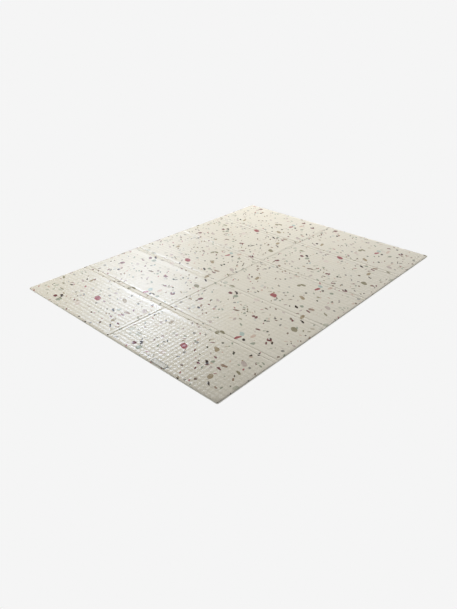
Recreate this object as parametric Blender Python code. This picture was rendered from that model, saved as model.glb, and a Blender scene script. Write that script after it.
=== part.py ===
"""A folding foam play mat lying open: one slab of closed-cell foam in ten panels, with pressed fold lines.

Metres, +Z up. The origin is on the floor under the middle of the mat. X runs along it and Y across it.
"""

import math

import bmesh
import bpy
from mathutils import Vector

# The slab
LENGTH = 2.0
WIDTH = 1.5
THICKNESS = 0.010
CORNER_RADIUS = 0.008
CORNER_STEPS = 4
TOP_RIM_RADIUS = 0.003
TOP_RIM_STEPS = 3
BASE_RIM_RADIUS = 0.001
BASE_RIM_STEPS = 1

# The fold lines: spines run across the mat, and one crease runs along its middle
PANELS_ALONG = 5
FOLD_PITCH = LENGTH / PANELS_ALONG
FIRST_PANEL = 0.393
SPINE_CENTRES = [FIRST_PANEL - LENGTH / 2 + i * FOLD_PITCH for i in range(PANELS_ALONG - 1)]
LONG_CREASE_Y = 0.0

# A spine in section: two creases with a low domed rib between them and a shoulder on each side
SPINE_RIB_HALF_WIDTH = 0.0125
SPINE_RIB_RISE = 0.0007
SPINE_CREASE_HALF_WIDTH = 0.0025
SPINE_CREASE_DEPTH = 0.0010
SPINE_SHOULDER_REACH = 0.021
SPINE_SHOULDER_DROP = 0.0009

# The long crease in section: one groove between two short shoulders
LONG_CREASE_HALF_WIDTH = 0.0035
LONG_CREASE_DEPTH = 0.0018
LONG_SHOULDER_REACH = 0.009
LONG_SHOULDER_DROP = 0.0005

# Where the sections bend, as shares of the rib, of a crease's half width and of a shoulder
RIB_STATIONS = (0.0, 0.3, 0.6)
CREASE_STATIONS = (-1.0, -0.5, 0.0, 0.5, 1.0)
SPINE_SHOULDER_STATIONS = (0.33, 0.67, 1.0)
GROOVE_STATIONS = (0.0, 0.5, 1.0)
LONG_SHOULDER_STATIONS = (0.5, 1.0)

# Only what lies above this height is pressed down, so the underside stays flat
PRESSED_FROM = 0.003

# The blank label, a thin plate stuck near the left short edge
LABEL_SIZE_X = 0.032
LABEL_SIZE_Y = 0.096
LABEL_THICKNESS = 0.0004
LABEL_CORNER_RADIUS = 0.009
LABEL_CENTRE_Y = -0.368
LABEL_EDGE_INSET = 0.004
LABEL_CLEARANCE = 0.0003

FILM_CREAM = (0.72, 0.68, 0.57, 1.0)
FILM_ROUGHNESS = 0.35
LABEL_GREY = (0.62, 0.64, 0.60, 1.0)
LABEL_ROUGHNESS = 0.3
SHARP_FROM = math.radians(35.0)

# How near a point counts as lying on a level or on a cut
TOUCH = 1e-5
CUT_TOUCH = 1e-6


def clear_scene():
    for found in list(bpy.data.objects):
        bpy.data.objects.remove(found, do_unlink=True)


def make_material(name, colour, roughness):
    material = bpy.data.materials.new(name)
    material.use_nodes = True
    shader = material.node_tree.nodes["Principled BSDF"]
    shader.inputs["Base Color"].default_value = colour
    shader.inputs["Roughness"].default_value = roughness
    shader.inputs["Metallic"].default_value = 0.0
    return material


def smooth_fall(distance, reach):
    """1 at distance 0, 0 at reach and beyond, level at both ends."""
    share = min(abs(distance) / reach, 1.0)
    return 0.5 * (1.0 + math.cos(math.pi * share))


def spine_depth(distance):
    """How far a spine presses the surface down at this distance from its middle."""
    from_crease = distance - SPINE_RIB_HALF_WIDTH
    crease = SPINE_CREASE_DEPTH * smooth_fall(from_crease, SPINE_CREASE_HALF_WIDTH)
    if from_crease > 0.0:
        shoulder_width = SPINE_SHOULDER_REACH - SPINE_RIB_HALF_WIDTH
        return crease + SPINE_SHOULDER_DROP * smooth_fall(from_crease, shoulder_width)
    share = distance / SPINE_RIB_HALF_WIDTH
    return crease + SPINE_SHOULDER_DROP - SPINE_RIB_RISE * (1.0 - share * share)


def long_crease_depth(distance):
    """How far the crease along the middle presses the surface down at this distance from it."""
    groove = LONG_CREASE_DEPTH * smooth_fall(distance, LONG_CREASE_HALF_WIDTH)
    return groove + LONG_SHOULDER_DROP * smooth_fall(distance, LONG_SHOULDER_REACH)


def both_sides(offsets):
    return sorted({side * offset for offset in offsets for side in (-1, 1)})


def spine_offsets():
    """Where a spine's section bends, from its middle, so that the mesh has a line of points there."""
    creases = [SPINE_RIB_HALF_WIDTH + share * SPINE_CREASE_HALF_WIDTH for share in CREASE_STATIONS]
    ribs = [share * creases[0] for share in RIB_STATIONS]
    start = creases[-1]
    shoulders = [start + share * (SPINE_SHOULDER_REACH - start) for share in SPINE_SHOULDER_STATIONS]
    return both_sides(ribs + creases + shoulders)


def long_crease_offsets():
    """Where the long crease's section bends, from its middle."""
    grooves = [share * LONG_CREASE_HALF_WIDTH for share in GROOVE_STATIONS]
    shoulder_width = LONG_SHOULDER_REACH - LONG_CREASE_HALF_WIDTH
    shoulders = [LONG_CREASE_HALF_WIDTH + share * shoulder_width for share in LONG_SHOULDER_STATIONS]
    return both_sides(grooves + shoulders)


def edges_where(bm, test):
    return [edge for edge in bm.edges if all(test(vert.co) for vert in edge.verts)]


def round_edges(bm, edges, radius, steps):
    bmesh.ops.bevel(
        bm, geom=edges, offset=radius, offset_type="OFFSET", segments=steps, profile=0.5, affect="EDGES"
    )


def cut_across(bm, place, normal):
    everything = bm.verts[:] + bm.edges[:] + bm.faces[:]
    bmesh.ops.bisect_plane(bm, geom=everything, plane_co=place, plane_no=normal, dist=CUT_TOUCH)


def press_down(bm):
    """Lowers the top along the fold lines. The sides follow it, more the higher they are."""
    for vert in bm.verts:
        share = (vert.co.z - PRESSED_FROM) / (THICKNESS - PRESSED_FROM)
        if share > 0.0:
            to_spine = min(abs(vert.co.x - centre) for centre in SPINE_CENTRES)
            to_crease = abs(vert.co.y - LONG_CREASE_Y)
            vert.co.z -= share * max(spine_depth(to_spine), long_crease_depth(to_crease))


def new_object(name, bm, material, collection):
    """Makes the mesh an object, with its rims smooth and its edges crisp."""
    mesh = bpy.data.meshes.new(name)
    bm.to_mesh(mesh)
    bm.free()
    mesh.shade_smooth()
    mesh.set_sharp_from_angle(angle=SHARP_FROM)
    mesh.materials.append(material)
    collection.objects.link(bpy.data.objects.new(name, mesh))


def slab_block(size, centre, corner_radius):
    """A block with rounded upright corners, from a cube."""
    bm = bmesh.new()
    bmesh.ops.create_cube(bm, size=1.0)
    bmesh.ops.scale(bm, vec=size, verts=bm.verts)
    bmesh.ops.translate(bm, vec=centre, verts=bm.verts)
    upright = [edge for edge in bm.edges if abs(edge.verts[0].co.z - edge.verts[1].co.z) > size[2] / 2]
    round_edges(bm, upright, corner_radius, CORNER_STEPS)
    return bm


def make_mat(collection):
    bm = slab_block((LENGTH, WIDTH, THICKNESS), (0.0, 0.0, THICKNESS / 2), CORNER_RADIUS)
    round_edges(bm, edges_where(bm, lambda p: p.z > THICKNESS - TOUCH), TOP_RIM_RADIUS, TOP_RIM_STEPS)
    round_edges(bm, edges_where(bm, lambda p: p.z < TOUCH), BASE_RIM_RADIUS, BASE_RIM_STEPS)
    for centre in SPINE_CENTRES:
        for offset in spine_offsets():
            cut_across(bm, (centre + offset, 0.0, 0.0), (1.0, 0.0, 0.0))
    for offset in long_crease_offsets():
        cut_across(bm, (0.0, LONG_CREASE_Y + offset, 0.0), (0.0, 1.0, 0.0))
    press_down(bm)
    new_object("mat", bm, make_material("printed foam film", FILM_CREAM, FILM_ROUGHNESS), collection)


def make_edge_label(collection):
    centre = Vector(
        (
            LABEL_EDGE_INSET + (LABEL_SIZE_X - LENGTH) / 2,
            LABEL_CENTRE_Y,
            THICKNESS + LABEL_CLEARANCE + LABEL_THICKNESS / 2,
        )
    )
    bm = slab_block((LABEL_SIZE_X, LABEL_SIZE_Y, LABEL_THICKNESS), centre, LABEL_CORNER_RADIUS)
    new_object("edge_label", bm, make_material("blank label film", LABEL_GREY, LABEL_ROUGHNESS), collection)


def main():
    clear_scene()
    collection = bpy.data.collections.new("folding_play_mat")
    bpy.context.scene.collection.children.link(collection)
    make_mat(collection)
    make_edge_label(collection)


main()
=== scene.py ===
"""The looks of a folding foam play mat: embossed, printed film on a closed-cell foam slab, lying open.

Everything is in metres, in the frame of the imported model: X along the mat, Y across it, Z up, the floor at 0.
"""

import math

import bmesh
import bpy
from mathutils import Matrix, Quaternion, Vector, noise


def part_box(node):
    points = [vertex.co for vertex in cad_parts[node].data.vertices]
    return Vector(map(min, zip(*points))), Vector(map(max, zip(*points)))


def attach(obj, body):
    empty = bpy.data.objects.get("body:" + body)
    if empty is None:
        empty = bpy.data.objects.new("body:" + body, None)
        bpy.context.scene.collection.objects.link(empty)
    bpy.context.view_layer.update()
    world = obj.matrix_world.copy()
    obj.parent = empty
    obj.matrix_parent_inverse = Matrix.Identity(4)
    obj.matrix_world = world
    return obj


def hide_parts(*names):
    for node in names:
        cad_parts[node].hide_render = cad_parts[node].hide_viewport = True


PHOTO_HEIGHT = 609

# Millimetres in a metre
MM = 1000.0

# The camera, solved from the four edges of the mat in the photo
CAMERA_PLACE = Vector((-2.2013, -1.9059, 1.4158))
CAMERA_TURN = math.radians(47.63)  # from +Y towards +X
CAMERA_DIP = math.radians(29.49)
CAMERA_ROLL = math.radians(0.17)
CAMERA_FOCAL_PIXELS = 523.67
SENSOR_HEIGHT_MM = 36.0

# The fold lines, as in the solid
FOLD_PITCH = 0.40
FIRST_PANEL = 0.393
SPINES = 4
SPINE_RIB_HALF_WIDTH = 0.0125
SPINE_RIB_RISE = 0.0007
SPINE_CREASE_HALF_WIDTH = 0.0025
SPINE_CREASE_DEPTH = 0.0010
SPINE_SHOULDER_REACH = 0.021
SPINE_SHOULDER_DROP = 0.0009
LONG_CREASE_Y = 0.0
LONG_CREASE_HALF_WIDTH = 0.0035
LONG_CREASE_DEPTH = 0.0018
LONG_SHOULDER_REACH = 0.009
LONG_SHOULDER_DROP = 0.0005
PRESSED_FROM = 0.003

# Where their sections bend, as shares of the rib, of a crease's half width and of a shoulder
RIB_STATIONS = (0.0, 0.3, 0.6)
CREASE_STATIONS = (-1.0, -0.5, 0.0, 0.5, 1.0)
SPINE_SHOULDER_STATIONS = (0.33, 0.67, 1.0)
GROOVE_STATIONS = (0.0, 0.5, 1.0)
LONG_SHOULDER_STATIONS = (0.5, 1.0)

# The slab's edges
CORNER_RADIUS = 0.008
CORNER_STEPS = 4
TOP_RIM_RADIUS = 0.003
TOP_RIM_STEPS = 3
BASE_RIM_RADIUS = 0.001
BASE_RIM_STEPS = 1
EDGE_SOFT_REACH = 0.006
EDGE_SOFT_DROP = 0.0002

# The embossing: domed cushions about an inch apart, each raised in rings, given as their width and rise
EMBOSS_PITCH = 0.026
EMBOSS_RINGS = [(0.0040, 0.00043), (0.0035, 0.00025), (0.0030, 0.00009)]
EMBOSS_RISE = sum(rise for _, rise in EMBOSS_RINGS)
EMBOSS_CRISP_ANGLE = math.radians(13.0)

# The film is left smooth this far to each side of a fold line, and the embossing comes back over a short way
SMOOTH_BY_SPINE = 0.041
SMOOTH_BY_LONG_CREASE = 0.021
SMOOTH_FADE = 0.004

# The foam's slow unevenness
WAVE_LENGTH = 0.22
WAVE_HEIGHT = 0.0003
WAVE_SLICE = 4.0

# Points of the slab nearer than a sliver are one point. A point counts as on a level within a touch of it.
SLIVER_WIDTH = 0.00008
TOUCH = 1e-6
SMOOTH_ANGLE = math.radians(40)

# A face's way up, from the height of its normal: level, looking up at all, or upright
LEVEL = 0.99
LOOKING_UP = 0.5
UPRIGHT = 0.2

# The blank label
LABEL_OUTLINE_WIDTH = 0.0030
LABEL_CORNER_RADIUS = 0.009
LABEL_CORNER_STEPS = 5
LABEL_FACE_RISE = 0.00005
LABEL_FACE = "#D4D0C2"
LABEL_SHADE = "#CFCBBD"
# The dark grey ring round the edge of the label's top
LABEL_LINE = "#4E514B"
LABEL_ROUGHNESS = 0.3
LABEL_LINE_ROUGHNESS = 0.4
LABEL_LINE_GRAIN_MM = 1.0
LABEL_BUMP = 0.5

# The film's finish: its grain, its orange peel and how far its gloss and tint drift. The real grain is too
# fine to show at this distance, so it is drawn coarser. The ribs and the valleys between cushions are duller.
GRAIN_MM = 1.4
GRAIN_DEPTH = 0.000006
PEEL_MM = 7.0
PEEL_DEPTH = 0.00002
GLOSS_PATCH_MM = 160.0
GLOSS_PATCH_SPAN = (0.3, 0.7)
FILM_ROUGHNESS = (0.19, 0.24)
RIB_ROUGHNESS = 0.34
VALLEY_HALF_WIDTHS_MM = (4.5, 2.5)
CUSHION_GLOSS = 0.5
VALLEY_GLOSS = 0.16
TINT_MM = 90.0
CREAM_COOL = "#DCD7C8"
CREAM_WARM = "#DED7C5"

# The foam at the walls, and the backing
FOAM_PALE = "#F0EEE6"
FOAM_SHADE = "#DAD9D0"
FOAM_CELL_MM = 0.8
FOAM_CELL_DEPTH = 0.0002
FOAM_BUMP = 0.6
FOAM_ROUGHNESS = 0.7
BACKING_CREAM = "#D6D2C4"
BACKING_MESH_MM = 3.0
BACKING_MESH_DEPTH = 0.0003
BACKING_BUMP = 0.5
BACKING_ROUGHNESS = 0.55

# The stage: a floor and a backdrop of the same even white, which the camera alone sees behind the mat
FLOOR_SIZE = 80.0
FLOOR_DROP = -0.0005
BACKDROP_RADIUS = 39.0
BACKDROP_SEGMENTS = 48
BACKDROP_RINGS = 24
STUDIO_WHITE = "#F5F5F5"

# The light. The room is dim. A big softbox stands behind the mat as the camera sees it, one past its left
# corner and a small one over its near part. The film doesn't mirror them. It mirrors two large panels far
# beyond the mat, each placed by its turn from +Y. A black flag in front of the nearest corner keeps the
# floor's light off the walls there.
ROOM_GLOW = 0.2
FILL_PANELS = [
    {"place": (2.65, 2.0, 1.9), "size": (4.0, 3.0), "glow": 5.6},
    {"place": (-1.5, 1.25, 1.35), "size": (2.0, 1.5), "glow": 2.15},
    {"place": (-0.55, -0.4, 0.75), "size": (0.5, 0.5), "glow": 0.92},
]
FILL_COLOUR = "#FFFFFF"
PANEL_DISTANCE = 25.0
WINDOW_PANEL = {
    "turn": 37.0, "middle": 13.2, "width": 8.6, "height": 7.8, "colour": "#DCE9FF", "glow": 13.0,
}
SIDE_PANEL = {
    "turn": 62.0, "middle": 9.3, "width": 20.0, "height": 12.8, "colour": "#F6F8FF", "glow": 0.65,
}
FLAG_PLACE = (-1.09, -0.83, 0.10)
FLAG_SIZE = (0.9, 0.2)

# How far the chips' outlines wander: the size of each ripple and its push, in mm
OUTLINE_WOBBLES = [(26.0, 9.0), (8.0, 2.2)]
SMALLEST_SPECK = 0.55

# The chart gives the chips as the camera sees them, with soft edges, so each is printed this much smaller
CHIP_TRIM_MM = 3.0

# The print repeats every 691.5 mm along the mat and every 700 mm across it, from this corner of it
REPEAT_MM = (691.5, 700.0)
REPEAT_CORNER_MM = (-1000.0, -725.0)

# The inks, as seen on the film
INKS = {
    "cream": "#DDD8CB",
    "espresso": "#3C2D1E",
    "deep_green": "#424433",
    "maroon": "#764644",
    "coral": "#9F5857",
    "rust": "#9B846F",
    "tan": "#A29274",
    "brown": "#7E6B5A",
    "olive": "#918A6E",
    "sage": "#9A9F8B",
    "pale_sage": "#C0BFAC",
    "mauve": "#BFB1A7",
    "pink": "#D9CDC0",
    "salmon": "#CCB6A3",
    "blue": "#ADBBB1",
    "mint": "#CDCBBE",
    "grey": "#959288",
}

# The larger chips of one repeat, charted: the ink, then for each chip its middle along and across the
# repeat, its length, its width (all mm) and its turn in degrees. Later inks lie over earlier ones.
CHIP_CHART = [
    ("pale_sage", [
        (125, 685, 36, 28, 0), (92, 658, 32, 15, 45), (108, 622, 38, 18, 90), (285, 514, 22, 16, 0),
        (325, 28, 22, 18, 0), (690, 420, 22, 16, 0), (460, 60, 18, 14, 60), (665, 248, 22, 16, 0),
    ]),
    ("mauve", [
        (262, 622, 40, 18, 60), (183, 518, 30, 20, 75), (437, 440, 26, 20, 60), (157, 167, 26, 13, 0),
        (280, 75, 48, 28, 60), (632, 570, 32, 18, 75), (415, 632, 22, 12, 45), (237, 243, 18, 12, 45),
        (545, 368, 32, 18, 15), (235, 478, 30, 18, 30),
    ]),
    ("pink", [
        (90, 415, 46, 34, 45), (548, 630, 34, 24, 45), (590, 420, 26, 16, 0), (205, 365, 24, 18, 45),
    ]),
    ("mint", [
        (490, 618, 46, 26, 45), (610, 285, 30, 18, 45), (240, 500, 30, 20, 15),
    ]),
    ("blue", [
        (463, 245, 38, 28, 60), (690, 475, 22, 12, 15),
    ]),
    ("salmon", [
        (485, 192, 42, 22, 0), (340, 84, 24, 16, 0),
    ]),
    ("sage", [
        (42, 530, 36, 30, 0), (198, 188, 26, 24, 0), (433, 150, 28, 24, 0), (526, 308, 32, 15, 60),
        (612, 600, 26, 12, 45), (680, 662, 30, 12, 45), (562, 497, 22, 12, 45), (575, 483, 26, 14, 60),
        (495, 442, 22, 13, 45), (624, 368, 22, 18, 0), (258, 438, 23, 12, 75), (367, 225, 22, 12, 45),
        (317, 5, 24, 10, 75), (340, 10, 24, 10, 75), (83, 30, 20, 12, 0),
    ]),
    ("grey", [
        (460, 620, 26, 14, 30), (572, 530, 26, 14, 30), (674, 486, 19, 17, 0), (306, 426, 23, 15, 60),
        (259, 355, 22, 19, 60), (658, 157, 26, 12, 30), (480, 5, 22, 20, 0), (275, 32, 22, 15, 60),
        (151, 478, 20, 13, 90), (200, 675, 17, 12, 75), (690, 215, 16, 14, 0), (15, 188, 17, 15, 0),
        (335, 374, 17, 13, 30), (158, 340, 22, 18, 0),
    ]),
    ("olive", [
        (123, 625, 45, 15, 90), (390, 345, 34, 26, 15), (408, 328, 40, 22, 75), (672, 80, 50, 34, 60),
        (212, 45, 38, 15, 60),
    ]),
    ("tan", [
        (280, 245, 52, 26, 60), (110, 122, 46, 26, 15), (300, 586, 46, 22, 15),
    ]),
    ("rust", [
        (205, 130, 40, 22, 105), (526, 594, 30, 18, 45), (470, 528, 24, 12, 45), (490, 520, 26, 12, 45),
    ]),
    ("brown", [
        (619, 425, 42, 19, 105), (52, 155, 24, 17, 45), (652, 398, 20, 16, 90), (673, 338, 22, 8, 45),
        (366, 498, 22, 12, 30), (381, 476, 22, 13, 75), (80, 275, 22, 13, 60), (428, 690, 20, 16, 0),
        (403, 665, 24, 12, 60), (552, 657, 24, 14, 0), (605, 692, 15, 12, 45), (620, 82, 20, 13, 30),
    ]),
    ("coral", [
        (195, 380, 56, 37, 60), (424, 240, 44, 22, 165),
    ]),
    ("maroon", [
        (52, 578, 32, 24, 60), (632, 313, 22, 20, 0), (634, 297, 27, 17, 15), (177, 132, 36, 15, 75),
        (548, 215, 32, 17, 105), (578, 653, 34, 27, 150), (514, 113, 36, 30, 60),
    ]),
    ("cream", [
        (412, 226, 28, 16, 0), (523, 118, 22, 20, 0),
    ]),
    ("deep_green", [
        (638, 242, 21, 16, 30), (646, 227, 24, 13, 135), (153, 529, 15, 13, 0), (340, 260, 17, 16, 0),
        (306, 162, 21, 14, 60), (401, 454, 15, 13, 45), (648, 370, 20, 9, 45), (262, 290, 18, 11, 45),
        (158, 240, 18, 11, 45), (565, 165, 18, 16, 0), (170, 472, 25, 10, 60),
    ]),
    ("espresso", [
        (80, 558, 24, 20, 75), (70, 545, 24, 15, 15), (290, 619, 22, 14, 45), (502, 592, 24, 18, 60),
        (174, 207, 40, 17, 60), (69, 92, 36, 13, 60), (428, 205, 24, 17, 45), (350, 94, 20, 12, 165),
        (526, 114, 17, 14, 60), (376, 67, 15, 13, 0), (390, 74, 15, 12, 30), (540, 24, 15, 9, 30),
        (560, 15, 15, 9, 30), (4, 218, 16, 9, 75), (664, 5, 13, 11, 0), (117, 9, 11, 9, 0),
    ]),
]

# The specks between them. Each layer has its spacing and radius in mm, its stretch and its turn in degrees.
SPECK_LAYERS = [
    (48.0, 7.8, 1.6, 35.0),
    (54.0, 7.4, 1.8, -50.0),
    (62.0, 8.8, 1.4, 80.0),
    (50.0, 5.4, 1.3, 10.0),
]
SPECK_INKS = ["brown", "coral", "olive", "sage", "mauve", "salmon", "maroon", "tan", "espresso", "rust"]
SPECK_SHARE = 0.20
SPECK_SCATTER = 0.9


def linear(hex_colour):
    """An sRGB hex colour as the linear RGBA that Blender's sockets hold."""
    parts = [int(hex_colour[i : i + 2], 16) / 255.0 for i in (1, 3, 5)]
    values = [c / 12.92 if c <= 0.04045 else ((c + 0.055) / 1.055) ** 2.4 for c in parts]
    return (*values, 1.0)


def add(tree, kind, inputs=None, **settings):
    """Adds a node with its settings. An input gets a value, a socket, or a node for its first output."""
    node = tree.nodes.new(kind)
    for name, value in settings.items():
        setattr(node, name, value)
    for socket, value in (inputs or {}).items():
        if isinstance(value, bpy.types.Node):
            value = value.outputs[0]
        if isinstance(value, bpy.types.NodeSocket):
            tree.links.new(value, node.inputs[socket])
        else:
            node.inputs[socket].default_value = value
    return node


def new_material(name, colour, roughness):
    """A material with its Principled shader set to a plain finish, its node tree and its shader."""
    material = bpy.data.materials.new(name)
    material.use_nodes = True
    shader = material.node_tree.nodes["Principled BSDF"]
    shader.inputs["Base Color"].default_value = linear(colour)
    shader.inputs["Roughness"].default_value = roughness
    return material, material.node_tree, shader


def place_in_mm(tree, keep):
    """The place on the piece in millimetres, with each of its three directions kept (1) or dropped (0)."""
    place = add(tree, "ShaderNodeTexCoord").outputs["Object"]
    scale = tuple(MM * share for share in keep)
    return add(tree, "ShaderNodeVectorMath", {0: place, 1: scale}, operation="MULTIPLY").outputs["Vector"]


def wobbled(tree, place):
    """The place pushed about a little, so that what is drawn there gets an uneven outline."""
    for size, push in OUTLINE_WOBBLES:
        ripple = add(
            tree,
            "ShaderNodeTexNoise",
            {"Vector": place, "Scale": 1.0 / size, "Detail": 1.0},
            noise_dimensions="2D",
        )
        centred = add(
            tree,
            "ShaderNodeVectorMath",
            {0: ripple.outputs["Color"], 1: (0.5, 0.5, 0.5)},
            operation="SUBTRACT",
        )
        pushed = add(
            tree,
            "ShaderNodeVectorMath",
            {0: centred.outputs["Vector"], 1: (push, push, 0.0), 2: place},
            operation="MULTIPLY_ADD",
        )
        place = pushed.outputs["Vector"]
    return place


def inked(tree, under, mask, ink):
    """The colour under, covered with the ink where the mask is 1."""
    return add(tree, "ShaderNodeMix", {0: mask, 6: under, 7: ink}, data_type="RGBA").outputs[2]


def speck_layer(tree, place, under, layer):
    """Small scattered chips of many inks over the colour under them."""
    spacing, radius, stretch, turn = layer
    turned = add(
        tree,
        "ShaderNodeMapping",
        {"Vector": place, "Rotation": (0.0, 0.0, math.radians(turn)), "Scale": (stretch, 1.0 / stretch, 1.0)},
        vector_type="TEXTURE",
    )
    cells = add(
        tree,
        "ShaderNodeTexVoronoi",
        {"Vector": turned.outputs["Vector"], "Scale": 1.0 / spacing, "Randomness": SPECK_SCATTER},
        voronoi_dimensions="2D",
    )
    chance = add(tree, "ShaderNodeSeparateColor", {"Color": cells.outputs["Color"]})
    largest = radius / spacing
    reach = add(
        tree,
        "ShaderNodeMapRange",
        {"Value": chance.outputs["Red"], "To Min": SMALLEST_SPECK * largest, "To Max": largest},
    )
    inside = add(tree, "ShaderNodeMath", {0: cells.outputs["Distance"], 1: reach}, operation="LESS_THAN")
    chosen = add(tree, "ShaderNodeMath", {0: chance.outputs["Green"], 1: SPECK_SHARE}, operation="LESS_THAN")
    shown = add(tree, "ShaderNodeMath", {0: inside, 1: chosen}, operation="MULTIPLY")
    inks = add(tree, "ShaderNodeValToRGB", {"Fac": chance.outputs["Blue"]})
    ramp = inks.color_ramp
    ramp.interpolation = "CONSTANT"
    while len(ramp.elements) < len(SPECK_INKS):
        ramp.elements.new(1.0)
    for index, ink in enumerate(SPECK_INKS):
        ramp.elements[index].position = index / len(SPECK_INKS)
        ramp.elements[index].color = linear(INKS[ink])
    return inked(tree, under, shown, inks.outputs["Color"])


def copies_in_repeat(chip):
    """Where a chip is drawn inside one repeat: once, and again where it crosses the repeat's edge."""
    along, across, length, _, _ = chip
    reach = length / 2 + sum(push for _, push in OUTLINE_WOBBLES)
    places = []
    for shift_along in (-REPEAT_MM[0], 0.0, REPEAT_MM[0]):
        for shift_across in (-REPEAT_MM[1], 0.0, REPEAT_MM[1]):
            x, y = along + shift_along, across + shift_across
            if -reach < x < REPEAT_MM[0] + reach and -reach < y < REPEAT_MM[1] + reach:
                places.append((x, y))
    return places


def charted_chips(tree, place, under):
    """The chart's chips over the colour under them, one ink after another."""
    from_corner = add(
        tree, "ShaderNodeVectorMath", {0: place, 1: (*REPEAT_CORNER_MM, 0.0)}, operation="SUBTRACT"
    )
    in_repeat = add(
        tree,
        "ShaderNodeVectorMath",
        {0: from_corner.outputs["Vector"], 1: (*REPEAT_MM, 0.0), 2: (0.0, 0.0, 0.0)},
        operation="WRAP",
    )
    turned = {}
    for turn in sorted({chip[4] for _, chips in CHIP_CHART for chip in chips}):
        turned[turn] = add(
            tree,
            "ShaderNodeVectorRotate",
            {"Vector": in_repeat.outputs["Vector"], "Angle": -math.radians(turn)},
            rotation_type="Z_AXIS",
        ).outputs["Vector"]
    for ink, chips in CHIP_CHART:
        nearest = None
        for chip in chips:
            _, _, length, width, turn = chip
            size = Vector((2.0 / (length - CHIP_TRIM_MM), 2.0 / (width - CHIP_TRIM_MM), 0.0))
            for x, y in copies_in_repeat(chip):
                middle = Matrix.Rotation(-math.radians(turn), 3, "Z") @ Vector((x, y, 0.0))
                fitted = add(
                    tree,
                    "ShaderNodeVectorMath",
                    {0: turned[turn], 1: size, 2: -middle * size},
                    operation="MULTIPLY_ADD",
                )
                away = add(tree, "ShaderNodeVectorMath", {0: fitted}, operation="LENGTH").outputs["Value"]
                if nearest is None:
                    nearest = away
                else:
                    nearest = add(tree, "ShaderNodeMath", {0: nearest, 1: away}, operation="MINIMUM")
        inside = add(tree, "ShaderNodeMath", {0: nearest, 1: 1.0}, operation="LESS_THAN")
        under = inked(tree, under, inside, linear(INKS[ink]))
    return under


def to_spines(tree, along):
    """The distance to the nearest spine, in mm.

    The pitch goes on past the last spines, so each short edge counts as lying 7 mm from one.
    """
    first = MM * (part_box("mat")[0].x + FIRST_PANEL)
    from_first = add(tree, "ShaderNodeMath", {0: along, 1: first}, operation="SUBTRACT")
    return add(tree, "ShaderNodeMath", {0: from_first, 1: MM * FOLD_PITCH / 2}, operation="PINGPONG")


def in_valleys(tree, along, across, to_spine):
    """1 between the cushions, and 0 on them, by the rim and on the smooth film by the fold lines."""
    low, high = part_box("mat")
    from_crease = add(tree, "ShaderNodeMath", {0: across, 1: MM * LONG_CREASE_Y}, operation="SUBTRACT")
    to_crease = add(tree, "ShaderNodeMath", {0: from_crease}, operation="ABSOLUTE")
    past_spine = add(
        tree, "ShaderNodeMath", {0: to_spine, 1: MM * SMOOTH_BY_SPINE}, operation="GREATER_THAN"
    )
    past_crease = add(
        tree, "ShaderNodeMath", {0: to_crease, 1: MM * SMOOTH_BY_LONG_CREASE}, operation="GREATER_THAN"
    )
    embossed = add(tree, "ShaderNodeMath", {0: past_spine, 1: past_crease}, operation="MULTIPLY")
    lines = []
    for axis, value in ((0, along), (1, across)):
        half_width = VALLEY_HALF_WIDTHS_MM[axis]
        half_length = MM * (high - low)[axis] / 2
        half_cell = half_length / cells_along(axis)
        from_low = add(tree, "ShaderNodeMath", {0: value, 1: MM * low[axis]}, operation="SUBTRACT")
        to_line = add(tree, "ShaderNodeMath", {0: from_low, 1: half_cell}, operation="PINGPONG")
        to_rim = add(tree, "ShaderNodeMath", {0: from_low, 1: half_length}, operation="PINGPONG")
        by_line = add(tree, "ShaderNodeMath", {0: to_line, 1: half_width}, operation="LESS_THAN")
        inner = add(tree, "ShaderNodeMath", {0: to_rim, 1: half_width}, operation="GREATER_THAN")
        lines.append(add(tree, "ShaderNodeMath", {0: by_line, 1: inner}, operation="MULTIPLY"))
    valleys = add(tree, "ShaderNodeMath", {0: lines[0], 1: lines[1]}, operation="MAXIMUM")
    return add(tree, "ShaderNodeMath", {0: valleys, 1: embossed}, operation="MULTIPLY")


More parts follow.
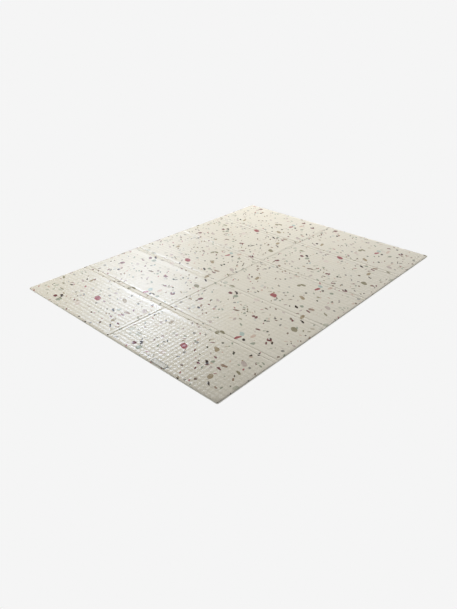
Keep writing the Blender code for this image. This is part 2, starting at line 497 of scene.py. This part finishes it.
def film_grain(tree, shader, place):
    """The film's moulded grain, as bump, and its gloss: duller between the cushions and on the fold ribs."""
    fine = add(tree, "ShaderNodeTexNoise", {"Vector": place, "Scale": 1.0 / GRAIN_MM, "Detail": 2.0})
    broad = add(tree, "ShaderNodeTexNoise", {"Vector": place, "Scale": 1.0 / PEEL_MM, "Detail": 1.0})
    peel = add(
        tree, "ShaderNodeBump", {"Height": broad.outputs["Fac"], "Strength": 1.0, "Distance": PEEL_DEPTH}
    )
    grain = add(
        tree,
        "ShaderNodeBump",
        {
            "Height": fine.outputs["Fac"],
            "Strength": 1.0,
            "Distance": GRAIN_DEPTH,
            "Normal": peel.outputs["Normal"],
        },
    )
    tree.links.new(grain.outputs["Normal"], shader.inputs["Normal"])
    patches = add(tree, "ShaderNodeTexNoise", {"Vector": place, "Scale": 1.0 / GLOSS_PATCH_MM, "Detail": 3.0})
    gloss = add(
        tree,
        "ShaderNodeMapRange",
        {
            "Value": patches.outputs["Fac"],
            "From Min": GLOSS_PATCH_SPAN[0],
            "From Max": GLOSS_PATCH_SPAN[1],
            "To Min": FILM_ROUGHNESS[0],
            "To Max": FILM_ROUGHNESS[1],
        },
    )
    apart = add(tree, "ShaderNodeSeparateXYZ", {"Vector": place})
    to_spine = to_spines(tree, apart.outputs["X"])
    on_rib = add(tree, "ShaderNodeMath", {0: to_spine, 1: MM * SPINE_RIB_HALF_WIDTH}, operation="LESS_THAN")
    finish = add(tree, "ShaderNodeMix", {0: on_rib, 2: gloss.outputs["Result"], 3: RIB_ROUGHNESS})
    tree.links.new(finish.outputs[0], shader.inputs["Roughness"])
    valley = in_valleys(tree, apart.outputs["X"], apart.outputs["Y"], to_spine)
    shine = add(tree, "ShaderNodeMix", {0: valley, 2: CUSHION_GLOSS, 3: VALLEY_GLOSS})
    tree.links.new(shine.outputs[0], shader.inputs["Specular IOR Level"])


def printed_film():
    """Polyethylene film, printed and embossed warm: satin cream, with a terrazzo print of flat chips."""
    material, tree, shader = new_material("printed polyethylene film", INKS["cream"], FILM_ROUGHNESS[0])
    flat_place = place_in_mm(tree, (1.0, 1.0, 0.0))
    outline_place = wobbled(tree, flat_place)
    tint = add(tree, "ShaderNodeTexNoise", {"Vector": flat_place, "Scale": 1.0 / TINT_MM, "Detail": 3.0})
    base = add(
        tree,
        "ShaderNodeMix",
        {0: tint.outputs["Fac"], 6: linear(CREAM_COOL), 7: linear(CREAM_WARM)},
        data_type="RGBA",
    ).outputs[2]
    for layer in SPECK_LAYERS:
        base = speck_layer(tree, outline_place, base, layer)
    base = charted_chips(tree, outline_place, base)
    tree.links.new(base, shader.inputs["Base Color"])
    film_grain(tree, shader, place_in_mm(tree, (1.0, 1.0, 1.0)))
    return material


def foam_edge():
    """Closed-cell polyethylene foam, knife cut and heat sealed: matt and pale, with small shut cells."""
    material, tree, shader = new_material("sealed polyethylene foam", FOAM_PALE, FOAM_ROUGHNESS)
    place = place_in_mm(tree, (1.0, 1.0, 1.0))
    cells = add(tree, "ShaderNodeTexVoronoi", {"Vector": place, "Scale": 1.0 / FOAM_CELL_MM})
    shade = add(
        tree,
        "ShaderNodeMix",
        {0: cells.outputs["Distance"], 6: linear(FOAM_PALE), 7: linear(FOAM_SHADE)},
        data_type="RGBA",
    )
    tree.links.new(shade.outputs[2], shader.inputs["Base Color"])
    bump = add(
        tree,
        "ShaderNodeBump",
        {"Height": cells.outputs["Distance"], "Strength": FOAM_BUMP, "Distance": FOAM_CELL_DEPTH},
    )
    tree.links.new(bump.outputs["Normal"], shader.inputs["Normal"])
    return material


def backing_film():
    """Plain polyethylene film on the underside, pressed with a fine mesh against slipping: matt cream."""
    material, tree, shader = new_material("plain backing film", BACKING_CREAM, BACKING_ROUGHNESS)
    place = place_in_mm(tree, (1.0, 1.0, 0.0))
    mesh_pattern = add(
        tree,
        "ShaderNodeTexVoronoi",
        {"Vector": place, "Scale": 1.0 / BACKING_MESH_MM, "Randomness": 0.0},
        voronoi_dimensions="2D",
        distance="CHEBYCHEV",
    )
    bump = add(
        tree,
        "ShaderNodeBump",
        {
            "Height": mesh_pattern.outputs["Distance"],
            "Strength": BACKING_BUMP,
            "Distance": BACKING_MESH_DEPTH,
        },
    )
    tree.links.new(bump.outputs["Normal"], shader.inputs["Normal"])
    return material


def label_film():
    """A blank film label in the mat's own cream: it reads by its outline and its flat, even face."""
    material, tree, shader = new_material("blank film label", LABEL_FACE, LABEL_ROUGHNESS)
    place = place_in_mm(tree, (1.0, 1.0, 1.0))
    ripple = add(tree, "ShaderNodeTexNoise", {"Vector": place, "Scale": 1.0 / PEEL_MM, "Detail": 2.0})
    tone = add(
        tree,
        "ShaderNodeMix",
        {0: ripple.outputs["Fac"], 6: linear(LABEL_FACE), 7: linear(LABEL_SHADE)},
        data_type="RGBA",
    )
    tree.links.new(tone.outputs[2], shader.inputs["Base Color"])
    bump = add(
        tree,
        "ShaderNodeBump",
        {"Height": ripple.outputs["Fac"], "Strength": LABEL_BUMP, "Distance": PEEL_DEPTH},
    )
    tree.links.new(bump.outputs["Normal"], shader.inputs["Normal"])
    return material


def label_outline():
    """The dark grey ring round the edge of the label's top."""
    material, tree, shader = new_material("dark outline", LABEL_LINE, LABEL_LINE_ROUGHNESS)
    place = place_in_mm(tree, (1.0, 1.0, 1.0))
    ripple = add(
        tree,
        "ShaderNodeTexNoise",
        {"Vector": place, "Scale": 1.0 / LABEL_LINE_GRAIN_MM, "Detail": 2.0},
    )
    tone = add(
        tree,
        "ShaderNodeMix",
        {0: ripple.outputs["Fac"], 6: linear(LABEL_LINE), 7: linear(INKS["grey"])},
        data_type="RGBA",
    )
    tree.links.new(tone.outputs[2], shader.inputs["Base Color"])
    return material


def only(obj):
    """Selects this object and nothing else."""
    for other in bpy.context.selected_objects:
        other.select_set(False)
    obj.select_set(True)
    bpy.context.view_layer.objects.active = obj


def pick(obj, kind, test):
    """In edit mode, selects just the edges or the faces that pass the test."""
    bpy.ops.mesh.select_mode(type={"edges": "EDGE", "faces": "FACE"}[kind])
    bpy.ops.mesh.select_all(action="DESELECT")
    bm = bmesh.from_edit_mesh(obj.data)
    for element in getattr(bm, kind):
        if test(element):
            element.select_set(True)
    bm.select_flush_mode()
    bmesh.update_edit_mesh(obj.data)


def all_points(element, test):
    return all(test(vert.co) for vert in element.verts)


def smooth_fall(distance, reach):
    """1 at distance 0, 0 at reach and beyond, level at both ends."""
    share = min(abs(distance) / reach, 1.0)
    return 0.5 * (1.0 + math.cos(math.pi * share))


def spine_centres(low):
    return [low.x + FIRST_PANEL + i * FOLD_PITCH for i in range(SPINES)]


def spine_depth(distance):
    """How far a spine presses the surface down at this distance from its middle."""
    from_crease = distance - SPINE_RIB_HALF_WIDTH
    crease = SPINE_CREASE_DEPTH * smooth_fall(from_crease, SPINE_CREASE_HALF_WIDTH)
    if from_crease > 0.0:
        shoulder_width = SPINE_SHOULDER_REACH - SPINE_RIB_HALF_WIDTH
        return crease + SPINE_SHOULDER_DROP * smooth_fall(from_crease, shoulder_width)
    share = distance / SPINE_RIB_HALF_WIDTH
    return crease + SPINE_SHOULDER_DROP - SPINE_RIB_RISE * (1.0 - share * share)


def long_crease_depth(distance):
    """How far the crease along the middle presses the surface down at this distance from it."""
    groove = LONG_CREASE_DEPTH * smooth_fall(distance, LONG_CREASE_HALF_WIDTH)
    return groove + LONG_SHOULDER_DROP * smooth_fall(distance, LONG_SHOULDER_REACH)


def both_sides(offsets):
    return sorted({side * offset for offset in offsets for side in (-1, 1)})


def spine_offsets():
    """Where a spine's section bends, from its middle."""
    creases = [SPINE_RIB_HALF_WIDTH + share * SPINE_CREASE_HALF_WIDTH for share in CREASE_STATIONS]
    ribs = [share * creases[0] for share in RIB_STATIONS]
    start = creases[-1]
    shoulders = [start + share * (SPINE_SHOULDER_REACH - start) for share in SPINE_SHOULDER_STATIONS]
    return both_sides(ribs + creases + shoulders)


def long_crease_offsets():
    """Where the long crease's section bends, from its middle."""
    grooves = [share * LONG_CREASE_HALF_WIDTH for share in GROOVE_STATIONS]
    shoulder_width = LONG_SHOULDER_REACH - LONG_CREASE_HALF_WIDTH
    shoulders = [LONG_CREASE_HALF_WIDTH + share * shoulder_width for share in LONG_SHOULDER_STATIONS]
    return both_sides(grooves + shoulders)


def cells_along(axis):
    """How many cushions there are along the mat (axis 0) or across it (axis 1)."""
    low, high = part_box("mat")
    return round((high - low)[axis] / EMBOSS_PITCH)


def emboss_share(to_spine, to_long_crease):
    """How much of the embossing there is at these distances from the nearest fold lines, from 0 to 1."""
    past_smooth = min(to_spine - SMOOTH_BY_SPINE, to_long_crease - SMOOTH_BY_LONG_CREASE)
    return min(max(past_smooth / SMOOTH_FADE, 0.0), 1.0)


def slow_wave(x, y):
    """The foam's slow unevenness at a place, in metres."""
    return WAVE_HEIGHT * noise.noise(Vector((x / WAVE_LENGTH, y / WAVE_LENGTH, WAVE_SLICE)))


def block_with_round_corners(name, low, high, radius, steps):
    """A block between two corners, its upright corners rounded, left in edit mode."""
    bpy.ops.mesh.primitive_cube_add(size=1.0, location=(low + high) / 2)
    block = bpy.context.object
    block.name = name
    only(block)
    block.scale = high - low
    bpy.ops.object.transform_apply(location=True, rotation=True, scale=True)
    bpy.ops.object.mode_set(mode="EDIT")
    middle = (low.z + high.z) / 2
    pick(block, "edges", lambda e: (e.verts[0].co.z - middle) * (e.verts[1].co.z - middle) < 0)
    bpy.ops.mesh.bevel(offset=radius, segments=steps, profile=0.5, affect="EDGES")
    return block


def cut_top(block, place, normal, reach):
    """Cuts a line across the faces that look up, near a place."""
    place, normal = Vector(place), Vector(normal)

    def near(face):
        return face.normal.z > LOOKING_UP and abs((face.calc_center_median() - place).dot(normal)) < reach

    pick(block, "faces", near)
    bpy.ops.mesh.bisect(plane_co=place, plane_no=normal, threshold=TOUCH)


def raise_cushions():
    """Makes each selected cell of the top a domed cushion, ring by ring."""
    for width, rise in EMBOSS_RINGS:
        bpy.ops.mesh.inset(thickness=width, depth=rise, use_individual=True)


def press_folds(mesh, low, high):
    """Presses the fold lines, the soft edges and the slow unevenness into the top. The walls follow it."""
    centres = spine_centres(low)
    for vert in mesh.vertices:
        x, y, z = vert.co
        share = (z - PRESSED_FROM) / (high.z - PRESSED_FROM)
        if share <= 0.0:
            continue
        to_spine = min(abs(x - centre) for centre in centres)
        to_crease = abs(y - LONG_CREASE_Y)
        to_edge = min(x - low.x, high.x - x, y - low.y, high.y - y)
        below_top = high.z - z
        if below_top < 2 * EMBOSS_RISE:
            below_top *= emboss_share(to_spine, to_crease)
        depth = max(spine_depth(to_spine), long_crease_depth(to_crease))
        depth += EDGE_SOFT_DROP * smooth_fall(to_edge, EDGE_SOFT_REACH)
        vert.co.z = high.z - below_top - share * (depth - slow_wave(x, y))


def lay_materials(mesh, materials, choose):
    for material in materials:
        mesh.materials.append(material)
    for face in mesh.polygons:
        face.material_index = choose(face)


def make_mat():
    """The slab: one closed mesh with an embossed top, pressed folds, a rounded rim and a flat underside."""
    low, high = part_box("mat")
    ground = Vector((high.x, high.y, high.z - EMBOSS_RISE))
    mat = block_with_round_corners("printed_mat", low, ground, CORNER_RADIUS, CORNER_STEPS)
    pick(mat, "edges", lambda e: all_points(e, lambda p: p.z > ground.z - TOUCH))
    bpy.ops.mesh.bevel(offset=TOP_RIM_RADIUS, segments=TOP_RIM_STEPS, profile=0.5, affect="EDGES")
    pick(mat, "edges", lambda e: all_points(e, lambda p: p.z < low.z + TOUCH))
    bpy.ops.mesh.bevel(offset=BASE_RIM_RADIUS, segments=BASE_RIM_STEPS, affect="EDGES")
    size = high - low
    columns, rows = cells_along(0), cells_along(1)
    for i in range(1, columns):
        cut_top(mat, (low.x + i * size.x / columns, 0.0, 0.0), (1.0, 0.0, 0.0), size.x)
    for i in range(1, rows):
        cut_top(mat, (0.0, low.y + i * size.y / rows, 0.0), (0.0, 1.0, 0.0), size.y)

    def whole_cell(face):
        level = face.normal.z > LEVEL and all_points(face, lambda p: p.z > ground.z - TOUCH)
        return level and len(face.verts) == 4

    # The four cells at the rounded corners aren't whole, and stay flat
    pick(mat, "faces", whole_cell)
    raise_cushions()
    for centre in spine_centres(low):
        for offset in spine_offsets():
            cut_top(mat, (centre + offset, 0.0, 0.0), (1.0, 0.0, 0.0), EMBOSS_PITCH)
    for offset in long_crease_offsets():
        cut_top(mat, (0.0, LONG_CREASE_Y + offset, 0.0), (0.0, 1.0, 0.0), EMBOSS_PITCH)
    # A fold line that is cut right beside a cushion's side leaves slivers, which are merged away
    bpy.ops.mesh.select_all(action="SELECT")
    bpy.ops.mesh.remove_doubles(threshold=SLIVER_WIDTH)
    bpy.ops.object.mode_set(mode="OBJECT")
    press_folds(mat.data, low, high)
    wall_top = high.z - TOP_RIM_RADIUS

    def choose(face):
        if face.normal.z < -LEVEL:
            return 2
        return 1 if abs(face.normal.z) < UPRIGHT or face.center.z < wall_top / 2 else 0

    lay_materials(mat.data, (printed_film(), foam_edge(), backing_film()), choose)
    only(mat)
    bpy.ops.object.shade_smooth_by_angle(angle=SMOOTH_ANGLE)
    bpy.ops.object.mode_set(mode="EDIT")
    inner_x, inner_y = high.x - TOP_RIM_RADIUS - TOUCH, high.y - TOP_RIM_RADIUS - TOUCH

    def on_top(point):
        return abs(point.x) < inner_x and abs(point.y) < inner_y and point.z > wall_top

    def crisp(edge):
        return all_points(edge, on_top) and edge.calc_face_angle(0.0) > EMBOSS_CRISP_ANGLE

    pick(mat, "edges", crisp)
    bpy.ops.mesh.mark_sharp()
    bpy.ops.object.mode_set(mode="OBJECT")
    return mat


def make_label():
    """The blank label: a thin plate with rounded corners and a fine outline."""
    low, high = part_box("edge_label")
    label = block_with_round_corners("blank_label", low, high, LABEL_CORNER_RADIUS, LABEL_CORNER_STEPS)
    pick(label, "faces", lambda f: f.normal.z > LEVEL)
    bpy.ops.mesh.inset(thickness=LABEL_OUTLINE_WIDTH, depth=0.0)
    bpy.ops.mesh.inset(thickness=LABEL_OUTLINE_WIDTH, depth=LABEL_FACE_RISE)
    bpy.ops.object.mode_set(mode="OBJECT")

    def choose(face):
        outline = face.normal.z > LOOKING_UP and face.center.z < high.z + LABEL_FACE_RISE / 5
        return 1 if outline else 0

    lay_materials(label.data, (label_film(), label_outline()), choose)
    return label


def glowing_material(name, colour, glow):
    """A surface that only glows."""
    material, tree, shader = new_material(name, "#000000", 1.0)
    shader.inputs["Specular IOR Level"].default_value = 0.0
    shader.inputs["Emission Color"].default_value = linear(colour)
    shader.inputs["Emission Strength"].default_value = glow
    return material, tree, shader


def make_floor():
    """A plain pale floor, wider than the camera can see."""
    bpy.ops.mesh.primitive_plane_add(size=FLOOR_SIZE, location=(0.0, 0.0, FLOOR_DROP))
    floor = bpy.context.object
    floor.name = "studio_floor"
    floor.data.materials.append(glowing_material("lit floor paper", STUDIO_WHITE, 1.0)[0])


def make_backdrop():
    """The backdrop round the floor, as white as the floor. It is seen, but gives no light."""
    bpy.ops.mesh.primitive_uv_sphere_add(
        segments=BACKDROP_SEGMENTS, ring_count=BACKDROP_RINGS, radius=BACKDROP_RADIUS
    )
    backdrop = bpy.context.object
    backdrop.name = "studio_backdrop"
    backdrop.data.materials.append(glowing_material("lit backdrop paper", STUDIO_WHITE, 1.0)[0])
    backdrop.visible_diffuse = False
    backdrop.visible_glossy = False
    backdrop.visible_transmission = False
    backdrop.visible_shadow = False


def make_camera():
    camera = bpy.data.objects.new("camera", bpy.data.cameras.new("camera"))
    bpy.context.scene.collection.objects.link(camera)
    camera.data.sensor_fit = "VERTICAL"
    camera.data.sensor_height = SENSOR_HEIGHT_MM
    camera.data.lens = CAMERA_FOCAL_PIXELS * SENSOR_HEIGHT_MM / PHOTO_HEIGHT
    camera.location = CAMERA_PLACE
    ahead = Vector(
        (
            math.cos(CAMERA_DIP) * math.sin(CAMERA_TURN),
            math.cos(CAMERA_DIP) * math.cos(CAMERA_TURN),
            -math.sin(CAMERA_DIP),
        )
    )
    level = ahead.to_track_quat("-Z", "Y")
    camera.rotation_euler = (level @ Quaternion((0.0, 0.0, 1.0), CAMERA_ROLL)).to_euler()
    bpy.context.scene.camera = camera


def make_panel(name, place, target, width, height, colour, glow):
    """A flat glowing panel that faces a point, and that the camera doesn't see."""
    bpy.ops.mesh.primitive_plane_add(size=1.0)
    panel = bpy.context.object
    panel.name = name
    panel.scale = (width, height, 1.0)
    panel.location = place
    panel.rotation_euler = (Vector(place) - Vector(target)).to_track_quat("Z", "Y").to_euler()
    material, tree, shader = glowing_material(name + " cloth", colour, glow)
    panel.data.materials.append(material)
    panel.visible_camera = False
    return panel, tree, shader


def fade_to_edges(tree, shader, glow):
    """Makes a panel brightest in its middle, fading out to its edges."""
    across = add(tree, "ShaderNodeTexCoord").outputs["Object"]
    from_middle = add(tree, "ShaderNodeVectorMath", {0: across, 1: (2.0, 2.0, 0.0)}, operation="MULTIPLY")
    fade = add(
        tree, "ShaderNodeTexGradient", {"Vector": from_middle.outputs["Vector"]}, gradient_type="SPHERICAL"
    )
    strength = add(tree, "ShaderNodeMath", {0: fade.outputs["Fac"], 1: glow}, operation="MULTIPLY")
    tree.links.new(strength.outputs[0], shader.inputs["Emission Strength"])


def mirrored_panel(name, panel):
    """An upright panel that stands far from the camera and faces it, for the film to mirror."""
    turn = math.radians(panel["turn"])
    foot = Vector((CAMERA_PLACE.x, CAMERA_PLACE.y, panel["middle"]))
    place = foot + PANEL_DISTANCE * Vector((math.sin(turn), math.cos(turn), 0.0))
    size = panel["width"], panel["height"]
    return make_panel(name, place, foot, *size, panel["colour"], panel["glow"])


def make_light():
    world = bpy.data.worlds.new("studio")
    world.use_nodes = True
    background = world.node_tree.nodes["Background"]
    background.inputs["Color"].default_value = linear(STUDIO_WHITE)
    background.inputs["Strength"].default_value = ROOM_GLOW
    bpy.context.scene.world = world
    for index, fill in enumerate(FILL_PANELS):
        name = f"fill_softbox_{index}"
        middle = (0.0, 0.0, 0.0)
        panel, _, _ = make_panel(name, fill["place"], middle, *fill["size"], FILL_COLOUR, fill["glow"])
        panel.visible_glossy = False
    _, tree, shader = mirrored_panel("window_panel", WINDOW_PANEL)
    fade_to_edges(tree, shader, WINDOW_PANEL["glow"])
    mirrored_panel("side_panel", SIDE_PANEL)
    near_corner = (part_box("mat")[0].x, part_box("mat")[0].y, 0.0)
    make_panel("black_flag", FLAG_PLACE, near_corner, *FLAG_SIZE, "#000000", 0.0)
    bpy.context.scene.view_settings.view_transform = "Standard"


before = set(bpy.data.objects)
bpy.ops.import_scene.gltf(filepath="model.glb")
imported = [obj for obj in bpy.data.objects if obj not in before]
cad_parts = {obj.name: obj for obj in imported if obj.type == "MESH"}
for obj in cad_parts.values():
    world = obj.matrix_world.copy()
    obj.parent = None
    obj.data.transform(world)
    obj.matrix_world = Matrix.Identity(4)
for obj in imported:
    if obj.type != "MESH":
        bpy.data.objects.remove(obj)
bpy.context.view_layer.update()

make_camera()
make_light()
make_floor()
make_backdrop()

mat_piece = make_mat()
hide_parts("mat")
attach(mat_piece, "root")

label_piece = make_label()
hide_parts("edge_label")
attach(label_piece, "root")
